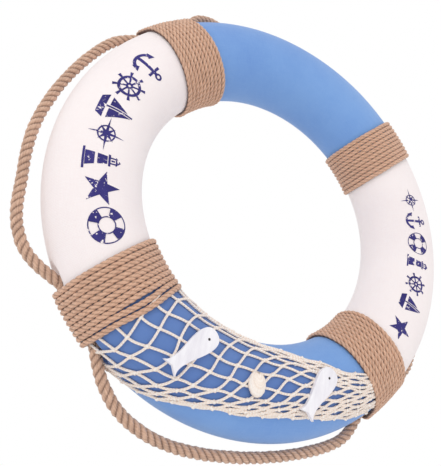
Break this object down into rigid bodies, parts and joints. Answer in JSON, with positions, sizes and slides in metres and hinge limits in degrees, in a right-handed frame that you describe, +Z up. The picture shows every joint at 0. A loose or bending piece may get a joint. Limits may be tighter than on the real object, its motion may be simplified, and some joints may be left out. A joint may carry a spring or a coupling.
{
  "type": "ring lifebuoy",
  "caption": "Decorative ring lifebuoy: canvas-covered foam ring in white and blue, jute wraps holding a grab rope with loose loops, and a net with wooden fish and a shell.",
  "frame": {"origin": "bearing point of a wall hook, at the top of the ring's hole, in the ring's middle plane", "axes": "+Z up as the ring hangs, +Y along the ring's axis towards its back, the face looks along -Y"},
  "size_m": [0.3747, 0.0681, 0.3725],
  "materials": {
    "foam": "expanded foam, hidden inside",
    "canvas_white": "matte woven canvas",
    "canvas_blue": "matte woven canvas",
    "jute_twine": "plied jute twine, slightly hairy",
    "jute_rope": "three-strand twisted jute rope",
    "net_cord": "knotted cotton netting",
    "painted_wood": "matte white paint on plywood",
    "shell": "natural cockle shell, satin",
    "glue": "clear hot glue"
  },
  "bodies": {
    "ring": {"foam_core": "foam", "cover_white_left": "canvas_white", "cover_white_right": "canvas_white", "cover_blue_bottom": "canvas_blue", "cover_blue_top": "canvas_blue", "wrap_upper_left": "jute_twine", "bound_rope_upper_left": "jute_rope", "wrap_lower_left": "jute_twine", "bound_rope_lower_left": "jute_rope", "wrap_lower_right": "jute_twine", "bound_rope_lower_right": "jute_rope", "wrap_upper_right": "jute_twine", "bound_rope_upper_right": "jute_rope", "net": "net_cord", "fish_left": "painted_wood", "fish_right": "painted_wood", "shell": "shell", "glue_fish_left": "glue", "glue_fish_right": "glue", "glue_shell": "glue"},
    "loop_left": {"grab_loop_left": "jute_rope"},
    "loop_bottom": {"grab_loop_bottom": "jute_rope"},
    "loop_right": {"grab_loop_right": "jute_rope"},
    "loop_top": {"grab_loop_top": "jute_rope"}
  },
  "joints": [
    {"name": "loop_left_swing", "type": "hinge", "parent": "ring", "child": "loop_left", "pos_m": [-0.1359, 0, -0.1065], "axis": [0, 0, -1], "range_deg": [-20, 20]},
    {"name": "loop_bottom_swing", "type": "hinge", "parent": "ring", "child": "loop_bottom", "pos_m": [0, 0, -0.2424], "axis": [1, 0, 0], "range_deg": [-20, 25]},
    {"name": "loop_right_swing", "type": "hinge", "parent": "ring", "child": "loop_right", "pos_m": [0.1359, 0, -0.1065], "axis": [0, 0, -1], "range_deg": [-10, 30]},
    {"name": "loop_top_swing", "type": "hinge", "parent": "ring", "child": "loop_top", "pos_m": [0, 0, 0.0294], "axis": [1, 0, 0], "range_deg": [0, 30]}
  ]
}
